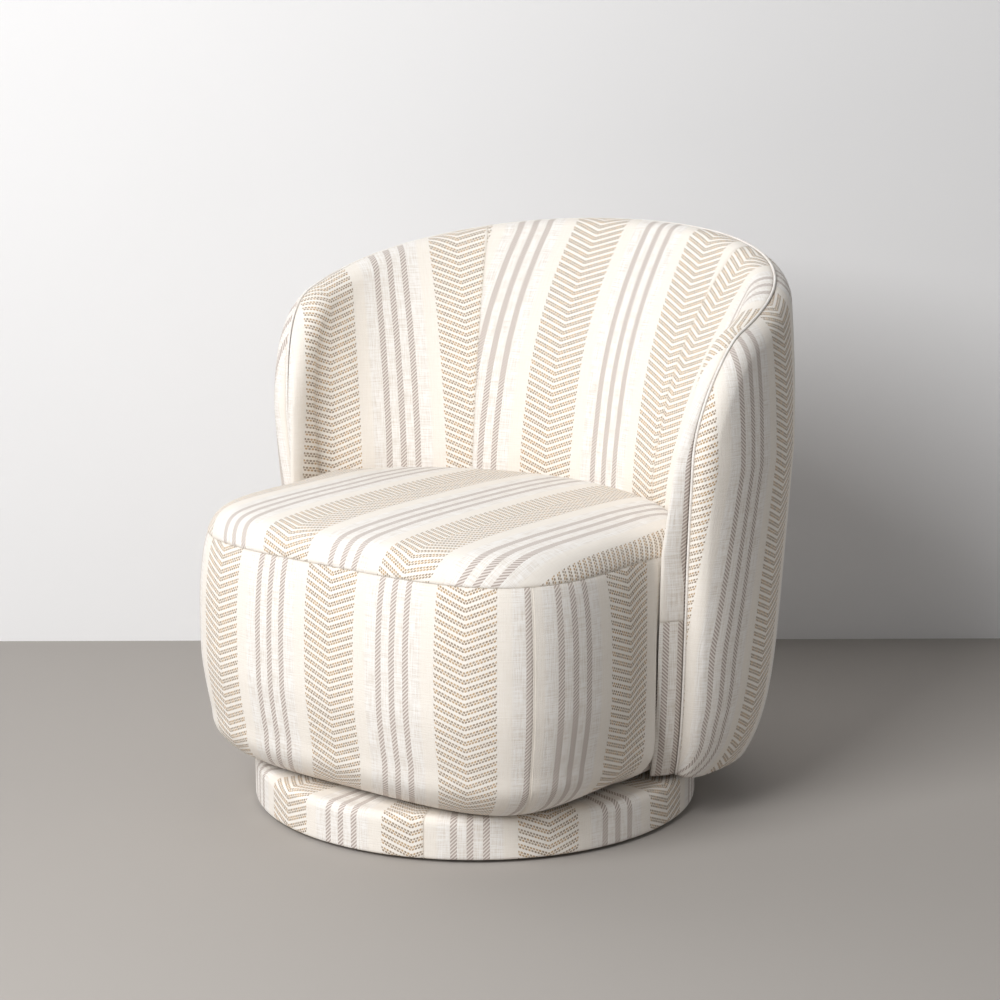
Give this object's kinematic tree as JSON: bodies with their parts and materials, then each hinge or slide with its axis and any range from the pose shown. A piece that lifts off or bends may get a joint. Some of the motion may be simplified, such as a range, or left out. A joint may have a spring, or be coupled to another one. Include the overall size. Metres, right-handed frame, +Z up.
{
  "type": "swivel barrel chair",
  "caption": "Upholstered barrel chair with curved back and arms in one piece, crowned seat and a round covered plinth that it swivels on.",
  "frame": {"origin": "middle of the whole chair's footprint, on the floor; the swivel axis stands 54.7 mm in front of it, toward -Y", "axes": "+Z up, -Y the way the sitter faces, +X to the right seen from the front"},
  "size_m": [0.7792, 0.7334, 0.7501],
  "materials": {
    "cover": "woven chevron stripe",
    "foam": "open cell foam",
    "wadding": "polyester wadding",
    "wood": "sawn beech",
    "plywood": "birch plywood",
    "board": "upholstery board",
    "steel": "drawn wire",
    "black_steel": "black coated",
    "plastic": "moulded",
    "felt": "needled felt",
    "webbing": "jute strap"
  },
  "bodies": {
    "base": {"plinth_floor_ring": "plywood", "plinth_hoop": "plywood", "plinth_brace": "plywood", "plinth_top_panel": "plywood", "plinth_padding": "wadding", "plinth_cover": "cover", "plinth_dust_cover": "felt", "floor_glide_1": "plastic", "floor_glide_2": "plastic", "floor_glide_3": "plastic", "floor_glide_4": "plastic", "swivel_lower_plate": "black_steel", "swivel_pin": "steel", "pin_washer": "plastic"},
    "bearing": {"ball_cage": "steel"},
    "seat_unit": {"swivel_upper_plate": "black_steel", "bottom_board": "plywood", "seat_dust_cover": "felt", "front_rib_frame": "plywood", "front_panel": "board", "front_rail": "wood", "side_rail_right": "wood", "side_rail_left": "wood", "back_rail": "wood", "rail_post_right_back": "wood", "rail_post_right_front": "wood", "rail_post_left_back": "wood", "rail_post_left_front": "wood", "sinuous_spring_1": "steel", "sinuous_spring_2": "steel", "sinuous_spring_3": "steel", "sinuous_spring_4": "steel", "sinuous_spring_5": "steel", "spring_tie_wire": "steel", "front_edge_roll": "wadding", "insulator_pad": "felt", "seat_foam": "foam", "seat_cushion_cover": "cover", "front_band_padding": "foam", "front_band_cover": "cover", "back_rib_centre": "plywood", "back_rib_right": "plywood", "back_rib_left": "plywood", "arm_rib_right": "plywood", "arm_rib_left": "plywood", "back_brace_band": "plywood", "top_hoop": "wood", "arm_post_right": "wood", "arm_post_left": "wood", "back_webbing": "webbing", "outer_back_board": "board", "outer_back_padding": "wadding", "outer_back_cover": "cover", "inner_back_foam": "foam", "inner_back_centre_cover": "cover", "inner_back_right_cover": "cover", "inner_back_left_cover": "cover", "arm_front_strip_right": "cover", "arm_front_strip_left": "cover", "rim_seam": "cover"}
  },
  "joints": [
    {"name": "swivel", "type": "hinge", "parent": "base", "child": "seat_unit", "pos_m": [0, -0.05475, 0.0622], "axis": [0, 0, 1], "continuous": true},
    {"name": "bearing_roll", "type": "hinge", "parent": "base", "child": "bearing", "pos_m": [0, -0.05475, 0.0622], "axis": [0, 0, 1], "continuous": true}
  ],
  "couplings": [
    {"joint": "bearing_roll", "follows": "swivel", "ratio": 0.5}
  ]
}
